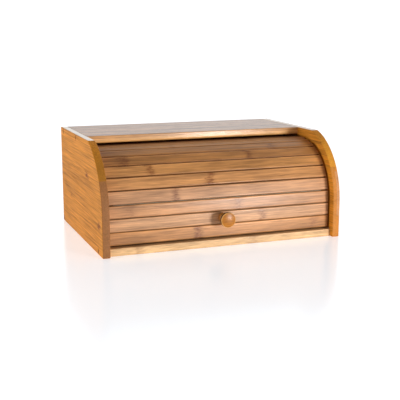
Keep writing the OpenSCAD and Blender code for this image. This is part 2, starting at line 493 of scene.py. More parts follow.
@dataclass(frozen=True)
class Steel:
    """Drawn steel wire or a plated screw: a hard, slightly dull metal shine with fine scratches."""

    name: str
    colour: str
    roughness: float
    scratch: float = 0.5 * MM

    def build(self) -> bpy.types.Material:
        """Build the material: a metal whose tone and roughness vary over a scratch's size.

        Returns:
            The finished material.
        """
        material, tree, shader = blank_material(self.name)
        noise = add_node(tree, "TexNoise", {
            "Vector": add_node(tree, "TexCoord").outputs["Object"],
            "Scale": 1.0 / self.scratch, "Detail": 3.0})
        full = linear(self.colour)
        feed(tree, shader, {
            "Base Color": add_node(tree, "ValToRGB", {"Fac": noise}, stops=(
                (0.0, (*(0.8 * part for part in full[:3]), 1.0)), (1.0, full))),
            "Roughness": add_node(tree, "MapRange", {
                "Value": noise, "To Min": self.roughness - 0.08,
                "To Max": self.roughness + 0.12}),
            "Metallic": 1.0})
        return material


@dataclass(frozen=True)
class CottonCloth:
    """Plain-woven unbleached cotton, glued to the slats: a matt cloth with an even weave."""

    name: str
    shade: str = "B9AB8C"
    light: str = "DDD3BB"
    thread: float = 0.6 * MM
    relief: float = 0.1 * MM

    def build(self) -> bpy.types.Material:
        """Build the weave from two sets of threads, a wave along each of the cloth's UV axes.

        UV is in metres along and across the cloth. The height is the product of a sine along
        each, which is a plain weave's over and under.

        Returns:
            The finished material.
        """
        material, tree, shader = blank_material(self.name)
        place = add_node(tree, "UVMap", uv_map="cloth")
        split = add_node(tree, "SeparateXYZ", {0: place})
        waves = []
        for axis in ("X", "Y"):
            turned = add_node(tree, "Math", {
                0: split.outputs[axis], 1: math.pi / self.thread}, operation="MULTIPLY")
            waves.append(add_node(tree, "Math", {0: turned}, operation="SINE"))
        weave = add_node(tree, "Math", dict(enumerate(waves)), operation="MULTIPLY")
        stain_and_shade = add_node(tree, "TexNoise", {"Vector": place, "Scale": 60.0, "Detail": 3.0})
        level = add_node(tree, "Math", {0: weave, 1: 0.12, 2: stain_and_shade}, operation="MULTIPLY_ADD")
        feed(tree, shader, {
            "Base Color": add_node(tree, "ValToRGB", {"Fac": level}, stops=(
                (0.25, linear(self.shade)), (0.75, linear(self.light)))),
            "Normal": add_node(tree, "Bump", {
                "Strength": 0.5, "Distance": self.relief, "Height": weave}),
            "Roughness": 0.9, "Sheen Weight": 0.2})
        return material


# ---------------------------------------------------------------- surfaces


def read_all(items: object, name: str, kind: type, width: int) -> np.ndarray:
    """Read one attribute of every vertex, loop or face of a mesh.

    Args:
        items: The mesh's vertices, loops or polygons.
        name: The attribute's name.
        kind: The array's type of number.
        width: How many numbers the attribute has.

    Returns:
        An array of as many rows as there are items, and width columns.
    """
    values = np.zeros(len(items) * width, kind)
    items.foreach_get(name, values)
    return values.reshape(-1, width)


def lay_uv(mesh: bpy.types.Mesh, name: str, uv: np.ndarray) -> None:
    """Give a mesh a UV map in metres.

    Args:
        mesh: The mesh.
        name: The UV map's name.
        uv: U and V of each vertex, as an n by 2 array.
    """
    corners = read_all(mesh.loops, "vertex_index", np.int32, 1)[:, 0]
    layer = mesh.uv_layers.new(name=name)
    layer.data.foreach_set("uv", uv[corners].astype(np.float32).ravel())


def surface(name: str, grid: np.ndarray, close_columns: bool = True, tidy: bool = True
            ) -> bpy.types.Object:
    """Make a mesh object from a grid of points.

    Neighbouring points of the grid make a quad. Rows that meet in one point make a pole, and
    points that fall together are merged, so a grid whose first and last rows are poles is a
    closed solid.

    Args:
        name: The object's name.
        grid: Points, as rows by columns by three.
        close_columns: Whether the last column joins the first.
        tidy: Whether to merge doubled points and turn all faces outwards.

    Returns:
        The new object, linked to the scene, at the origin.
    """
    rows, columns = grid.shape[:2]
    index = np.arange(rows * columns).reshape(rows, columns)
    if close_columns:
        index = np.concatenate([index, index[:, :1]], axis=1)
    quads = np.stack([index[:-1, :-1], index[:-1, 1:], index[1:, 1:], index[1:, :-1]],
                     axis=-1).reshape(-1, 4)
    mesh = bpy.data.meshes.new(name)
    mesh.from_pydata(grid.reshape(-1, 3).tolist(), [], quads.tolist())
    if tidy:
        work = bmesh.new()
        work.from_mesh(mesh)
        bmesh.ops.remove_doubles(work, verts=work.verts, dist=2e-6)
        bmesh.ops.dissolve_degenerate(work, edges=work.edges, dist=1e-6)
        bmesh.ops.recalc_face_normals(work, faces=work.faces)
        work.to_mesh(mesh)
        work.free()
    mesh.polygons.foreach_set("use_smooth", np.ones(len(mesh.polygons), bool))
    mesh.update()
    made = bpy.data.objects.new(name, mesh)
    bpy.context.scene.collection.objects.link(made)
    return made


def rounded_box_outline(low: tuple[float, float], high: tuple[float, float],
                        radii: tuple[float, float, float, float], steps: int = 6,
                        edge_points: int = 2) -> np.ndarray:
    """Outline of a rectangle with rounded corners, anticlockwise from the lower left corner.

    Each corner is a quarter circle about a point one radius in from both sides.

    Args:
        low: Lower left corner.
        high: Upper right corner.
        radii: Radius at the lower left, lower right, upper right and upper left corner.
        steps: Segments in each corner's arc.
        edge_points: Extra points close to each arc's ends, to hold the flat faces flat.

    Returns:
        Points as an n by 2 array.
    """
    corners = np.array([[low[0], low[1]], [high[0], low[1]], [high[0], high[1]],
                        [low[0], high[1]]])
    inward = np.array([[1, 1], [-1, 1], [-1, -1], [1, -1]], float)
    pieces = []
    for number in range(4):
        radius = radii[number]
        centre = corners[number] + inward[number] * radius
        start = math.pi + number * math.pi / 2
        turn = start + np.linspace(0.0, math.pi / 2, steps + 1)
        arc = centre + radius * np.stack([np.cos(turn), np.sin(turn)], axis=-1)
        if edge_points:
            hold = 0.35 * radius
            before = arc[0] + hold * np.array([math.sin(start), -math.cos(start)])
            after = arc[-1] + hold * np.array([-math.sin(turn[-1]), math.cos(turn[-1])])
            arc = np.concatenate([before[None], arc, after[None]])
        pieces.append(arc)
    return np.concatenate(pieces)


def outward(outline: np.ndarray) -> np.ndarray:
    """Unit normals of a closed anticlockwise outline, from its neighbours' direction."""
    along = np.roll(outline, -1, axis=0) - np.roll(outline, 1, axis=0)
    along /= np.maximum(np.linalg.norm(along, axis=1, keepdims=True), 1e-12)
    return np.stack([along[:, 1], -along[:, 0]], axis=-1)


def rounding(edge: float, steps: int) -> tuple[np.ndarray, np.ndarray]:
    """Work out a quarter-round edge, from a piece's end towards its middle.

    Args:
        edge: The rounding's radius.
        steps: Segments in it.

    Returns:
        For each row, how far the outline is drawn in and how far from the end it lies.
    """
    turn = np.linspace(0.0, math.pi / 2, steps + 1)
    return edge * (1.0 - np.sin(turn)), edge * (1.0 - np.cos(turn))


def bar_grid(outline: np.ndarray, x_low: float, x_high: float, edge: float, steps: int = 4
             ) -> np.ndarray:
    """Carry a side-view outline along X, with rounded ends closed by a pole.

    Near each end the outline shrinks along its normals as a quarter circle of radius edge,
    and the last row is the outline's centre.

    Args:
        outline: Points [y, z] as an n by 2 array, anticlockwise.
        x_low: The lower end.
        x_high: The upper end.
        edge: Radius of the end's rounding.
        steps: Segments in the rounding.

    Returns:
        Grid of points, rows along X.
    """
    inset, step = rounding(edge, steps)
    hold = [END_HOLD * edge]
    insets = np.concatenate([hold, inset, inset[::-1], hold])
    places = np.concatenate([[x_low, x_low], x_low + step, x_high - step[::-1],
                             [x_high, x_high]])
    pole = np.broadcast_to(outline.mean(axis=0), (1, *outline.shape))
    flat = np.concatenate([pole, outline - outward(outline) * insets[:, None, None], pole])
    along = np.broadcast_to(places[:, None, None], (*flat.shape[:2], 1))
    return np.concatenate([along, flat], axis=-1)


# ---------------------------------------------------------------- the cabinet

# Where each staple's crown lies in a side panel's outer face, as Y and Z.
STAPLE_PLACES = ((121.5 * MM, 162 * MM), (23 * MM, 162 * MM), (135.5 * MM, 6 * MM),
                 (-115.5 * MM, 6 * MM))


@dataclass
class SidePanel:
    """A laminated bamboo board with a large rounded upper front corner and a curtain groove.

    The panel is built for the left side and mirrored in X for the right one.
    """

    name: str
    node: str
    side: int
    slot: str
    finish: Bamboo
    half_width: float = 200 * MM
    thickness: float = 12 * MM
    front: float = -142.5 * MM
    back: float = 142.5 * MM
    height: float = 168 * MM
    corner: float = 108 * MM
    shoulder: float = 80.5 * MM
    groove_out: float = 95.5 * MM
    groove_in: float = 86.0 * MM
    groove_depth: float = 5 * MM
    groove_foot: float = 12 * MM
    groove_end: float = 134.5 * MM
    edge: float = 1.3 * MM
    small_corner: float = 1.6 * MM
    arris: float = 0.5 * MM
    rim: float = 1.6
    mouth: float = 0.4 * MM
    middle: tuple[float, float] = (4.0 * MM, 70.0 * MM)
    slot_depth: float = 0.7 * MM
    slot_size: tuple[float, float] = (1.8 * MM, 8.64 * MM)

    def outline(self) -> dict[str, np.ndarray]:
        """Work out the panel's outline and, for each of its points, the groove's two walls.

        The outline runs clockwise seen from -X: up the front, round the curve to the
        shoulder, back along the top, down the back and forward along the bottom. The curve is
        a circle that leaves the front upright and passes through the shoulder. Beside each
        point lie a point on the groove's outer wall and one on its inner wall. Where there is
        no groove they lie on the box that closes it off.

        Returns:
            Arrays edge, normal, outer, inner and cut, where cut says whether the groove is
            there.
        """
        bend = np.array([self.front + self.corner, self.height - self.corner])
        r = self.small_corner
        columns = []

        def add(points: np.ndarray, normals: np.ndarray) -> None:
            """Keep a run of outline points and their normals."""
            columns.append((points, normals))

        def straight(start: tuple, end: tuple, normal: tuple, stops: np.ndarray) -> None:
            """Add points along a straight edge at shares of its length."""
            a, b = np.array(start), np.array(end)
            points = a + (b - a) * stops[:, None]
            add(points, np.broadcast_to(np.array(normal, float), points.shape))

        def small(centre: tuple, first: float) -> None:
            """Add a sharp corner's small arc, turning clockwise from the angle first."""
            turn = first - np.linspace(0.0, math.pi / 2, 5)
            normal = np.stack([np.cos(turn), np.sin(turn)], axis=-1)
            add(np.array(centre) + r * normal, normal)

        foot_share = (self.groove_foot - r) / (bend[1] - r)
        stops = np.unique(np.concatenate([np.linspace(0, 1, 13), [foot_share]]))[:-1]
        straight((self.front, r), (self.front, bend[1]), (-1, 0), stops)
        radius = (self.shoulder ** 2 + self.corner ** 2) / (2 * self.shoulder)
        centre = np.array([self.front + radius, bend[1]])
        sweep = math.asin(self.corner / radius)
        shares = np.append(np.linspace(0.0, 1.0, 97), 1.0 - self.arris / (radius * sweep))
        turn = math.pi - sweep * np.sort(shares)[:-1]
        normal = np.stack([np.cos(turn), np.sin(turn)], axis=-1)
        add(centre + radius * normal, normal)
        # The corner's normal halves the angle and is lengthened to keep both insets straight.
        half = (math.pi / 2 - sweep) / 2
        across = np.array([[-math.sin(half), math.cos(half)]]) / math.cos(half)
        shoulder = self.front + self.shoulder
        add(np.array([[shoulder, self.height]]), across)
        stops = np.unique(np.concatenate([
            [shoulder + self.arris], np.linspace(shoulder, bend[0], 17)[1:],
            np.linspace(bend[0], self.back - r, 19), [self.groove_end]]))
        run = (self.back - r) - shoulder
        straight((shoulder, self.height), (self.back - r, self.height), (0, 1),
                 (stops[:-1] - shoulder) / run)
        small((self.back - r, self.height - r), math.pi / 2)
        straight((self.back, self.height - r), (self.back, r), (1, 0), np.linspace(0, 1, 15)[1:-1])
        small((self.back - r, r), 0.0)
        straight((self.back - r, 0), (self.front + r, 0), (0, -1), np.linspace(0, 1, 27)[1:-1])
        small((self.front + r, r), -math.pi / 2)
        points = np.concatenate([c[0] for c in columns])[:-1]
        normals = np.concatenate([c[1] for c in columns])[:-1]

        outer, inner = self._walls(points, bend)
        cut = ((points[:, 0] < bend[0]) & (points[:, 1] >= self.groove_foot - 1e-9)) | (
            (points[:, 1] > self.height - 1e-6) & (points[:, 0] <= self.groove_end + 1e-9))
        # The first and last cut columns are doubled, so that the groove's ends stand square.
        order, flags = [], []
        for number in range(len(points)):
            before = cut[number - 1]
            after = cut[(number + 1) % len(points)]
            if cut[number] and not before:
                order += [number, number]
                flags += [False, True]
            elif cut[number] and not after:
                order += [number, number]
                flags += [True, False]
            else:
                order.append(number)
                flags.append(bool(cut[number]))
        return {"edge": points[order], "normal": normals[order], "outer": outer[order],
                "inner": inner[order], "cut": np.array(flags)}

    def _walls(self, points: np.ndarray, bend: np.ndarray) -> tuple[np.ndarray, np.ndarray]:
        """Points on the groove's outer and inner wall beside each outline point.

        Round the bend they are the outline point's direction from the bend's centre times each
        wall's radius. Elsewhere they are the outline point held inside the walls' own box.

        Args:
            points: Outline points [y, z].
            bend: Centre of the bend.

        Returns:
            The outer wall's points and the inner wall's.
        """
        out = []
        on_bend = (points[:, 0] <= bend[0]) & (points[:, 1] >= bend[1])
        direction = (points - bend) / np.linalg.norm(points - bend, axis=1, keepdims=True)
        for radius in (self.groove_out, self.groove_in):
            held = np.stack([
                np.clip(points[:, 0], bend[0] - radius, self.groove_end),
                np.clip(points[:, 1], self.groove_foot, bend[1] + radius)], axis=-1)
            out.append(np.where(on_bend[:, None], bend + radius * direction, held))
        return out[0], out[1]

    def build(self) -> bpy.types.Object:
        """Build the panel as one grid, closed by an outer face with the staples' slots in it.

        Rows run from the outer face's rim, over the rounded outer edge, across the rim, over
        the inner edge, down and up the groove's walls, to the inner face's middle.

        Returns:
            The finished piece.
        """
        line = self.outline()
        edge, normal = line["edge"], line["normal"]
        outer, inner = line["outer"], line["inner"]
        middle = np.broadcast_to(self.middle, edge.shape)
        depth = np.where(line["cut"], self.groove_depth, 0.0)
        r = self.edge
        rows, xs = [], []

        def ring(flat: np.ndarray, x: np.ndarray | float) -> None:
            """Keep one row of the grid."""
            rows.append(flat)
            xs.append(np.broadcast_to(np.asarray(x, float), flat.shape[:1]))

        ring(edge - normal * r * self.rim, 0.0)
        inset, step = rounding(r, 5)
        for into, x in zip((*inset, *inset[::-1]), (*step, *(self.thickness - step[::-1]))):
            ring(edge - normal * into, x)
        ring(edge - normal * r * self.rim, self.thickness)
        toward = (outer - edge) / np.maximum(
            np.linalg.norm(outer - edge, axis=1, keepdims=True), 1e-9)
        ring(outer - toward * self.mouth, self.thickness)
        ring(outer, self.thickness)
        ring(outer, self.thickness - depth)
        ring(inner, self.thickness - depth)
        ring(inner, self.thickness)
        ring(inner + (middle - inner) * 0.02, self.thickness)
        ring(inner + (middle - inner) * 0.5, self.thickness)
        ring(middle, self.thickness)

        flat = np.stack(rows)
        x = -self.half_width + np.stack(xs)
        grid = np.concatenate([x[..., None], flat], axis=-1)
        grid[..., 0] *= -self.side
        made = surface(self.name, grid)
        self._fill_outer_face(made)
        made.data.materials.append(self.finish.build())
        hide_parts(self.node)
        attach(made, "cabinet")
        return made

    def _fill_outer_face(self, made: bpy.types.Object) -> None:
        """Close the outer face round the four narrow slots that the staples' crowns sit in.

        Each slot is a little larger than a crown and has four walls and a floor. The rest of
        the face is one flat fill from the rim's first ring to the slots' mouths.
        """
        corners = np.array([[-0.5, -0.5], [0.5, -0.5], [0.5, 0.5], [-0.5, 0.5]]) * self.slot_size
        face_x = self.side * self.half_width
        floor_x = face_x - self.side * self.slot_depth
        work = bmesh.new()
        work.from_mesh(made.data)
        rim = [edge for edge in work.edges if edge.is_boundary]
        for place in STAPLE_PLACES:
            mouth = [work.verts.new((face_x, *(corner + place))) for corner in corners]
            floor = [work.verts.new((floor_x, *(corner + place))) for corner in corners]
            for near, far in ((0, 1), (1, 2), (2, 3), (3, 0)):
                work.faces.new((mouth[near], mouth[far], floor[far], floor[near]))
                rim.append(work.edges.get((mouth[near], mouth[far])))
            work.faces.new(floor)
        bmesh.ops.triangle_fill(work, edges=rim, use_beauty=True)
        bmesh.ops.recalc_face_normals(work, faces=work.faces)
        work.to_mesh(made.data)
        work.free()
        made.data.set_sharp_from_angle(angle=math.radians(30))


@dataclass
class Board:
    """A flat bamboo board between the side panels, with its edges eased."""

    name: str
    node: str
    finish: Bamboo
    slot: str
    front_low: float = 1.0 * MM
    front_high: float = 1.0 * MM
    back: float = 0.8 * MM
    end: float = 0.15 * MM

    def build(self) -> bpy.types.Object:
        """Carry the board's rounded side-view outline along X over the CAD node's box.

        Returns:
            The finished piece.
        """
        low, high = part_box(self.node)
        outline = rounded_box_outline(
            (low.y, low.z), (high.y, high.z),
            (self.front_low, self.back, self.back, self.front_high))
        made = surface(self.name, bar_grid(outline, low.x, high.x, self.end))
        made.data.materials.append(self.finish.build())
        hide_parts(self.node)
        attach(made, "cabinet")
        return made


# ---------------------------------------------------------------- the curtain


@dataclass(frozen=True)
class SlatLook:
    """The middle tone of one slat's bamboo, and where its knots fall."""

    tone: str
    knots: tuple[Knot, ...] = ()


@dataclass
class Curtain:
    """The roll top: bamboo slats glued to a cloth, hinged where the cloth bends."""

    count: int = 11
    thickness: float = 5 * MM
    gap: float = 0.4 * MM
    edge: float = 2.0 * MM
    back_edge: float = 0.3 * MM
    end_edge: float = 0.5 * MM
    crown: float = 0.12 * MM
    cloth: float = 0.8 * MM
    cloth_short: float = 0.3 * MM
    cloth_half: float = 177 * MM
    bend_share: float = 2.2 * MM
    cloth_pitch: float = 0.0205
    looks: list[SlatLook] = field(default_factory=list)
    hinges: np.ndarray | None = None

    def __post_init__(self) -> None:
        """Find the flex lines from the joints, and carry them on straight at both ends."""
        places = {j["name"]: j.get("pos_m") for j in frame["joints"]}
        inner = np.array([places[f"flex_{n:02d}"][1:] for n in range(1, self.count - 1)])
        pitch = float(np.linalg.norm(inner[1] - inner[0]))
        foot = inner[0] - np.array([0.0, pitch])
        tail = inner[-1] + np.outer([1, 2], [pitch, 0.0])
        self.hinges = np.concatenate([foot[None], inner, tail])

    def body(self, number: int) -> str:
        """Name of the body that slat number rides on, counting from one at the bottom."""
        return "curtain_rear" if number > self.count - 2 else f"curtain_{number:02d}"

    def on_slat(self, number: int, flat: np.ndarray) -> np.ndarray:
        """Turn points drawn on a slat into the side view.

        Args:
            number: The slat, counting from one at the bottom.
            flat: Points [along the slat's width, out of its face], ending in two columns.

        Returns:
            Points [y, z] of the same shape.
        """
        start, end = self.hinges[number - 1], self.hinges[number]
        along = (end - start) / np.linalg.norm(end - start)
        out = np.array([-along[1], along[0]])
        return start + flat[..., :1] * along + flat[..., 1:] * out

    def slat(self, number: int) -> bpy.types.Object:
        """Build one slat: a strip with a slightly crowned face and two eased front edges.

        The face's height falls by the crown with the square of the distance from the
        slat's centre line.

        Args:
            number: The slat, counting from one at the bottom.

        Returns:
            The finished piece.
        """
        node = f"slat_{number:02d}"
        low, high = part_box(node)
        pitch = float(np.linalg.norm(self.hinges[number] - self.hinges[number - 1]))
        width = pitch - self.gap
        outline = rounded_box_outline(
            (self.gap / 2, 0.0), (self.gap / 2 + width, self.thickness),
            (self.back_edge, self.back_edge, self.edge, self.edge), steps=8)
        face_row = np.stack([np.linspace(0.78, 0.22, 9) * width + self.gap / 2,
                             np.full(9, self.thickness)], axis=-1)
        on_face = np.where(outline[:, 1] > self.thickness - 1e-9)[0]
        middle = on_face[on_face < 0.75 * len(outline)][-1] + 1
        outline = np.concatenate([outline[:middle], face_row, outline[middle:]])
        share = (outline[:, 0] - pitch / 2) / (width / 2)
        lift = outline[:, 1] / self.thickness
        outline[:, 1] -= self.crown * share ** 2 * lift
        points = self.on_slat(number, outline)
        made = surface(node + "_strip", bar_grid(points, low.x, high.x, self.end_edge))
        self._slat_uv(made, number)
        look = self.looks[number - 1]
        made.data.materials.append(Bamboo(
            name=f"caramel_bamboo_slat_{number:02d}", tone=look.tone, grain=Grain.ALONG_X,
            strip=1.0, strip_origin=-0.5, tone_spread=0.0, seed=1.7 * number,
            dash_length=38 * MM, dash_width=1.0 * MM, coat=0.22, coat_roughness=0.3,
            knots=look.knots, eased_width=pitch, contrast=0.5,
            # The lowest slat's lower edge takes only a little painted shade.
            edge_shade=0.15 if number == 1 else 0.75).build())
        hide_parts(node)
        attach(made, self.body(number))
        return made

    def _slat_uv(self, made: bpy.types.Object, number: int) -> None:
        """Lay out a slat's UV in metres: X along it, and the distance across from its foot."""
        points = read_all(made.data.vertices, "co", float, 3)
        start, end = self.hinges[number - 1], self.hinges[number]
        across = (points[:, 1:] - start) @ (end - start) / np.linalg.norm(end - start)
        lay_uv(made.data, "strip", np.stack([points[:, 0], across], axis=-1))

    def cloth_strip(self, hinge: int) -> bpy.types.Object:
        """Build the cloth from the middle of one slat, over a flex line, to the next middle.

        The strip's front lies on the slats' backs and its back one thickness behind. At
        the curtain's two ends the strip runs from a slat's middle to its free edge.

        Args:
            hinge: The flex line's number, from zero at the foot to count at the tail.

        Returns:
            The finished piece.
        """
        pitch = float(np.linalg.norm(self.hinges[1] - self.hinges[0]))
        path = []
        if hinge > 0:
            path.append(self.on_slat(hinge, self._cloth_line(pitch / 2, pitch, hinge, True)))
        if hinge < self.count:
            path.append(self.on_slat(hinge + 1, self._cloth_line(0, pitch / 2, hinge, False)))
        front = np.concatenate(path)
        keep = np.concatenate([[True], np.linalg.norm(np.diff(front, axis=0), axis=1) > 1e-7])
        front = front[keep]
        along = np.gradient(front, axis=0)
        along /= np.linalg.norm(along, axis=1, keepdims=True)
        inward = np.stack([along[:, 1], -along[:, 0]], axis=-1)
        back = front + inward * self.cloth
        loop = np.concatenate([back, front[::-1]])
        stations = np.linspace(-self.cloth_half, self.cloth_half, 25)
        rows = [np.broadcast_to(loop.mean(axis=0), loop.shape)] + [loop] * len(stations) + [
            np.broadcast_to(loop.mean(axis=0), loop.shape)]
        places = np.concatenate([stations[:1], stations, stations[-1:]])
        flat = np.stack(rows)
        x = np.broadcast_to(places[:, None, None], flat.shape[:2] + (1,))
        made = surface(f"cloth_over_flex_{hinge:02d}", np.concatenate([x, flat], axis=-1))
        self._cloth_uv(made, hinge)
        return made

    def _cloth_line(self, start: float, end: float, hinge: int, before: bool) -> np.ndarray:
        """Points along a slat's back, in the slat's own axes, a hair inside a free edge."""
        if before and hinge == self.count:
            end -= self.cloth_short
        if not before and hinge == 0:
            start += self.cloth_short
        w = np.linspace(start, end, 9)
        return np.stack([w, np.zeros_like(w)], axis=-1)

    def _cloth_uv(self, made: bpy.types.Object, hinge: int) -> None:
        """Lay out the cloth's UV in metres: X across, and distance along the path upwards."""
        points = read_all(made.data.vertices, "co", float, 3)
        centre = self.hinges[hinge]
        upward = np.linalg.norm(points[:, 1:] - centre, axis=1) * np.sign(
            points[:, 2] - centre[1] + points[:, 1] - centre[0] + 1e-9)
        lay_uv(made.data, "cloth", np.stack(
            [points[:, 0], upward + hinge * self.cloth_pitch], axis=-1))

    def build(self) -> list[bpy.types.Object]:
        """Build every slat and every stretch of cloth.

        Returns:
            The finished pieces.
        """
        made = [self.slat(number) for number in range(1, self.count + 1)]
        weave = CottonCloth("woven_cotton_backing").build()
        for hinge in range(self.count + 1):
            strip = self.cloth_strip(hinge)
            strip.data.materials.append(weave)
            if hinge < self.count:
                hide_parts(f"cloth_{hinge + 1:02d}")
            below = self.body(max(hinge, 1))
            above = self.body(min(hinge + 1, self.count))
            if below == above:
                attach(strip, below)
            else:
                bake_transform(strip)
            made.append(strip)
        return made


@dataclass
class Knob:
    """A turned wooden knob: a foot, a waist, and a coved head with a domed face.

    Lengths are in millimetres.
    """

    radius: float = 12.0
    length: float = 24.0
    foot_radius: float = 8.64
    waist_centre: tuple[float, float] = (12.0, 8.4)
    waist_radius: float = 6.0
    rim_radius: float = 1.44
    back_rim: float = 15.84
    front_rim: float = 20.91
    rim_depth: float = 0.8
    cove_radius: float = 2.16
    cove_offset: float = 0.25
    dome_radius: float = 36.0
    sides: int = 96
    finish: Bamboo | None = None
    # The cove's finish is a dark painted shade, the rims' a pale painted highlight.
    cove_shade_finish: Bamboo | None = None
    rim_highlight_finish: Bamboo | None = None

    def profile(self) -> np.ndarray:
        """Half section of the knob, from the middle of its foot to the middle of its face.

        The foot's edges are eased. The waist is an arc about a point outside the knob. The
        head's back and front rims are quarter rounds with a cove's arc between them, and the
        face is a shallow dome.

        Returns:
            Points [distance along the axis from the slat, radius], in metres.
        """
        quarter = np.linspace(0.0, math.pi / 2, 9)
        rim_x = self.radius - self.rim_radius
        foot = np.array([(0.0, 0.0), (0.0, 6.0), (0.0, 8.1), (0.1, 8.4), (0.35, 8.6),
                         (0.7, self.foot_radius), (2.9, self.foot_radius)])
        start = math.acos((self.waist_centre[0] - self.foot_radius) / self.waist_radius)
        end = math.acos((self.waist_centre[0] - rim_x) / self.waist_radius)
        turn = np.linspace(-start, end, 25)
        waist = np.stack([self.waist_centre[1] + self.waist_radius * np.sin(turn),
                          self.waist_centre[0] - self.waist_radius * np.cos(turn)], axis=-1)
        back = np.stack([self.back_rim - self.rim_radius * np.cos(quarter),
                         rim_x + self.rim_radius * np.sin(quarter)], axis=-1)[1:]
        middle = (self.back_rim + self.front_rim) / 2
        outside = self.cove_radius * self.cove_offset
        reach = math.acos(self.cove_offset)
        turn = np.linspace(-reach, reach, 15)
        cove = np.stack([middle + self.cove_radius * np.sin(turn),
                         self.radius + outside - self.cove_radius * np.cos(turn)], axis=-1)
        dome_middle = self.length - self.dome_radius
        touch = math.atan2(self.front_rim - dome_middle, rim_x)
        turn = np.linspace(0.0, touch, 9)
        front = np.stack([self.front_rim + self.rim_radius * np.sin(turn),
                          rim_x + self.rim_radius * np.cos(turn)], axis=-1)
        turn = np.linspace(touch, math.pi / 2, 12)[1:]
        face = np.stack([dome_middle + self.dome_radius * np.sin(turn),
                         self.dome_radius * np.cos(turn)], axis=-1)
        return np.concatenate([foot, waist, back, cove, front, face]) * MM

    def build(self) -> bpy.types.Object:
        """Turn the half section about the knob's axis.

        Returns:
            The finished piece.
        """
        low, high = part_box("knob")
        height = (low.z + high.z) / 2
        profile = self.profile()
        turn = np.linspace(0.0, TAU, self.sides, endpoint=False)
        x = profile[:, 1:] * np.cos(turn)
        z = height + profile[:, 1:] * np.sin(turn)
        y = np.broadcast_to(high.y - profile[:, :1], x.shape)
        made = surface("knob_turned", np.stack([x, y, z], axis=-1))
        for finish in (self.finish, self.cove_shade_finish, self.rim_highlight_finish):
            made.data.materials.append(finish.build())
        self._mark_faces(made, high.y, height)
        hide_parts("knob")
        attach(made, "curtain_02")
        return made

    def _mark_faces(self, made: bpy.types.Object, back: float, height: float) -> None:
        """Give the cove's faces material 1, a painted shade, and those of the two rims, the widest,
        material 2, a painted highlight.

        Args:
            made: The turned knob.
            back: Where the knob's foot stands, along Y.
            height: Height of the knob's axis.
        """
        places = read_all(made.data.polygons, "center", float, 3)
        from_foot = (back - places[:, 1]) / MM
        radius = np.hypot(places[:, 0], places[:, 2] - height) / MM
        half = self.cove_radius * math.sin(math.acos(self.cove_offset))
        middle = (self.back_rim + self.front_rim) / 2
        in_cove = np.abs(from_foot - middle) < half
        on_rim = ~in_cove & (radius > self.radius - self.rim_depth)
        made.data.polygons.foreach_set("material_index", np.where(
            in_cove, 1, np.where(on_rim, 2, 0)).astype(np.int32))


# ---------------------------------------------------------------- the studio


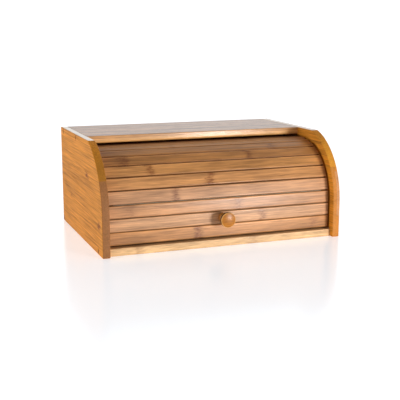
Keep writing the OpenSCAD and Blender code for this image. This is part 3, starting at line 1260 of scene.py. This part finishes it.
@dataclass
class Studio:
    """Pale table, white surround, and soft lights, with the camera to the front left."""

    target: tuple[float, float, float] = (0.0084, 0.0, 0.0483)
    distance: float = 1.4395
    yaw: float = 20.7
    pitch: float = 11.45
    lens: float = 75.3
    front_level: float = 0.32
    back_level: float = 1.2
    top_level: float = 0.25
    table_colour: tuple[float, float, float, float] = (0.82, 0.88, 0.95, 1.0)
    table_glow: float = 0.43

    def build(self) -> None:
        """Set up the camera, the table, the surround and the lights."""
        self._camera()
        self._table()
        self._surround()
        bpy.context.scene.view_settings.view_transform = "Standard"
        self._area("front_key", (0.72, -1.6, 0.16), (0.0, 0.0, 0.07), 0.36, 24.0)
        self._area("left_fill", (-1.6, -0.2, 0.5), (0.0, 0.0, 0.08), 0.9, 10.5)

    def _camera(self) -> None:
        """Place the camera by turning and tipping it about the target."""
        turn, tip = math.radians(self.yaw), math.radians(self.pitch)
        back = np.array([-math.sin(turn) * math.cos(tip), -math.cos(turn) * math.cos(tip),
                         math.sin(tip)])
        eye = np.array(self.target) + self.distance * back
        lens = bpy.data.cameras.new("camera")
        lens.lens = self.lens
        lens.sensor_width = 36.0
        lens.clip_end = 50.0
        made = bpy.data.objects.new("camera", lens)
        made.location = eye
        made.rotation_euler = (math.pi / 2 - tip, 0.0, -turn)
        bpy.context.scene.collection.objects.link(made)
        bpy.context.scene.camera = made

    def _table(self) -> None:
        """A large pale table top with a faint gloss, just under the object."""
        shares = np.linspace(-6.0, 6.0, 5)
        x, y = np.meshgrid(shares, shares, indexing="ij")
        grid = np.stack([x, y, np.full_like(x, -0.0002)], axis=-1)
        table = surface("table", grid, close_columns=False, tidy=False)
        for face in table.data.polygons:
            if face.normal.z < 0:
                face.flip()
        material, tree, shader = blank_material("pale_lacquered_table")
        noise = add_node(tree, "TexNoise", {
            "Vector": add_node(tree, "TexCoord").outputs["Object"], "Scale": 3.0})
        feed(tree, shader, {
            "Base Color": self.table_colour,
            "Roughness": add_node(tree, "MapRange", {
                "Value": noise, "To Min": 0.16, "To Max": 0.2}),
            "Emission Color": (1.0, 1.0, 1.0, 1.0), "Emission Strength": self.table_glow})
        table.data.materials.append(material)

    def _surround(self) -> None:
        """A surround that is white behind the object and dimmer in front and above."""
        world = bpy.data.worlds.new("white_surround")
        world.use_nodes = True
        tree = world.node_tree
        way = add_node(tree, "SeparateXYZ", {
            0: add_node(tree, "TexCoord").outputs["Generated"]})
        around = add_node(tree, "MapRange", {
            "Value": way.outputs["Y"], "From Min": -0.1, "From Max": 0.5,
            "To Min": self.front_level, "To Max": self.back_level},
            interpolation_type="SMOOTHSTEP")
        upward = add_node(tree, "MapRange", {
            "Value": way.outputs["Z"], "From Min": 0.3, "From Max": 0.85},
            interpolation_type="SMOOTHSTEP")
        feed(tree, tree.nodes["Background"], {
            "Color": (1.0, 1.0, 1.0, 1.0),
            "Strength": add_node(tree, "Mix", {
                "Factor": upward, "A": around, "B": self.top_level}, data_type="FLOAT")})
        bpy.context.scene.world = world

    def _area(self, name: str, place: tuple[float, float, float],
              aim: tuple[float, float, float], size: float, watts: float) -> None:
        """Add one square soft light.

        Args:
            name: The light's name.
            place: Where it stands.
            aim: The point it faces.
            size: Length of its side.
            watts: Its power.
        """
        light = bpy.data.lights.new(name, "AREA")
        light.size = size
        light.energy = watts
        made = bpy.data.objects.new(name, light)
        way = np.array(aim) - np.array(place)
        way /= np.linalg.norm(way)
        made.location = place
        made.rotation_euler = (math.acos(-way[2]), 0.0, math.atan2(way[0], -way[1]) + math.pi)
        bpy.context.scene.collection.objects.link(made)


# ---------------------------------------------------------------- the whole object


STAPLE_STAINS = tuple(Knot(y, z, 3.4 * MM, 6.2 * MM, 3.0) for y, z in STAPLE_PLACES)

# From the lowest slat up.
SLAT_LOOKS = [
    SlatLook("AF7947", (Knot(-42 * MM), Knot(160 * MM, strength=0.5))),
    SlatLook("B8885F", (Knot(68 * MM, strength=0.7),)),
    SlatLook("AF7B4E", (Knot(28 * MM, strength=0.7), Knot(-150 * MM, strength=0.4))),
    SlatLook("B3825A", (Knot(-76 * MM, strength=0.9),)),
    SlatLook("B8814E", (Knot(-16 * MM),)),
    SlatLook("C0864D", (Knot(-112 * MM),)),
    SlatLook("AD753F", (Knot(-150 * MM), Knot(62 * MM))),
    SlatLook("AD753F", (Knot(110 * MM, strength=0.6),)),
    SlatLook("BC8249", (Knot(-60 * MM, strength=0.5),)),
    SlatLook("CA9262"),
    SlatLook("B07E50", (Knot(90 * MM),))]


def dress_fittings() -> None:
    """Give the screw and the staples, kept as CAD nodes, their metals."""
    screw = Steel("zinc_plated_steel_screw", "C9C6BE", 0.32).build()
    wire = Steel("brown_lacquered_steel_wire", "1E140C", 0.7).build()
    for node, metal in (("knob_screw", screw), ("staples_left", wire), ("staples_right", wire)):
        made = frame["nodes"][node]
        made.data.materials.clear()
        made.data.materials.append(metal)
        log.info("dressed %s", node)


def main() -> None:
    """Build the studio, the cabinet, the curtain and the knob, and report each piece."""
    logging.basicConfig(level=logging.INFO, format="%(name)s: %(message)s")
    Studio().build()
    # The sides' upward rim faces take a pale painted highlight.
    left = Bamboo("laminated_bamboo_side_left", "C07A20", Grain.ALONG_Y, strip=21 * MM,
                  strip_origin=2 * MM, tone_spread=0.12, seed=3.0, specular=0.2, coat=0.0,
                  roughness=0.6, cut_low="8C5B32", cut_high="98621C", top_highlight_tone="F0DCC0",
                  bands=0.3, clouds=0.2, contrast=0.6, dash_length=90 * MM,
                  cut_split_height=115 * MM,
                  knots=(Knot(-50 * MM, 112 * MM, 16 * MM, 8 * MM, 1.6),
                         Knot(-122 * MM, 46 * MM, 13 * MM, 9 * MM, 1.6),
                         Knot(70 * MM, 60 * MM, 12 * MM, 7 * MM, 0.6), *STAPLE_STAINS))
    # The right panel's outer ply takes a painted sheen on its front edge.
    right = replace(left, name="laminated_bamboo_side_right", tone="CA8224", strip=24 * MM,
                    strip_origin=5 * MM, tone_spread=0.15, seed=8.0, cut_low="B8742C",
                    cut_high="C8862A", top_limit=197.5 * MM, sheen_tone="BC8252",
                    knots=(Knot(30 * MM, 90 * MM, 14 * MM, 9 * MM),
                           Knot(-90 * MM, 38 * MM, 12 * MM, 8 * MM, 0.8), *STAPLE_STAINS))
    pieces = [
        SidePanel("side_left", "side_panel_left", -1, "side_left", left).build(),
        SidePanel("side_right", "side_panel_right", 1, "side_right", right).build(),
        Board("top_board", "top_panel", Bamboo(
            "laminated_bamboo_top", "B07C50", Grain.ALONG_X, strip=19 * MM, contrast=0.8,
            strip_origin=-10.5 * MM, tone_spread=0.2, seed=5.0, coat=0.5,
            cut_low="D8A260", cut_high="C48C50", cut_split_height=163 * MM), "top",
            front_low=3.0 * MM, front_high=1.5 * MM).build(),
        Board("bottom_board", "bottom_panel", Bamboo(
            "laminated_bamboo_bottom", "D6AC7A", Grain.ALONG_X, strip=19 * MM,
            strip_origin=-10.5 * MM, tone_spread=0.3, seed=2.0, knot_scatter=150 * MM,
            knots=(Knot(-128 * MM, strength=0.6), Knot(60 * MM, strength=0.4))), "bottom",
            front_low=1.2 * MM, front_high=1.2 * MM).build(),
        Board("back_board", "back_panel", Bamboo(
            "laminated_bamboo_back", "B8824E", Grain.UPRIGHT_X, strip=21 * MM,
            tone_spread=0.35, seed=6.0, knot_scatter=210 * MM,
            knots=(Knot(-100 * MM, strength=0.8), Knot(125 * MM, strength=0.8))), "back",
            front_low=0.4 * MM, front_high=0.4 * MM, back=0.4 * MM).build(),
    ]
    pieces += Curtain(looks=SLAT_LOOKS).build()
    turned = Bamboo("turned_lacquered_bamboo", "A8681A", Grain.ALONG_X, strip=1.0,
                    tone_spread=0.0, contrast=0.3, specular=0.2, coat=0.25,
                    coat_roughness=0.3, roughness=0.4, seed=4.0)
    pieces.append(Knob(
        finish=turned,
        # Dark painted shade in the cove and a pale painted highlight on the rims.
        cove_shade_finish=replace(turned, name="turned_bamboo_cove_painted_shade", tone="5E360E",
                            coat=0.0),
        rim_highlight_finish=replace(turned, name="turned_bamboo_rim_painted_highlight", tone="E0A860")).build())
    for piece in pieces:
        log.info("built %s with %d faces", piece.name, len(piece.data.polygons))
    dress_fittings()
    bpy.context.view_layer.update()


if __name__ == "__main__":
    main()
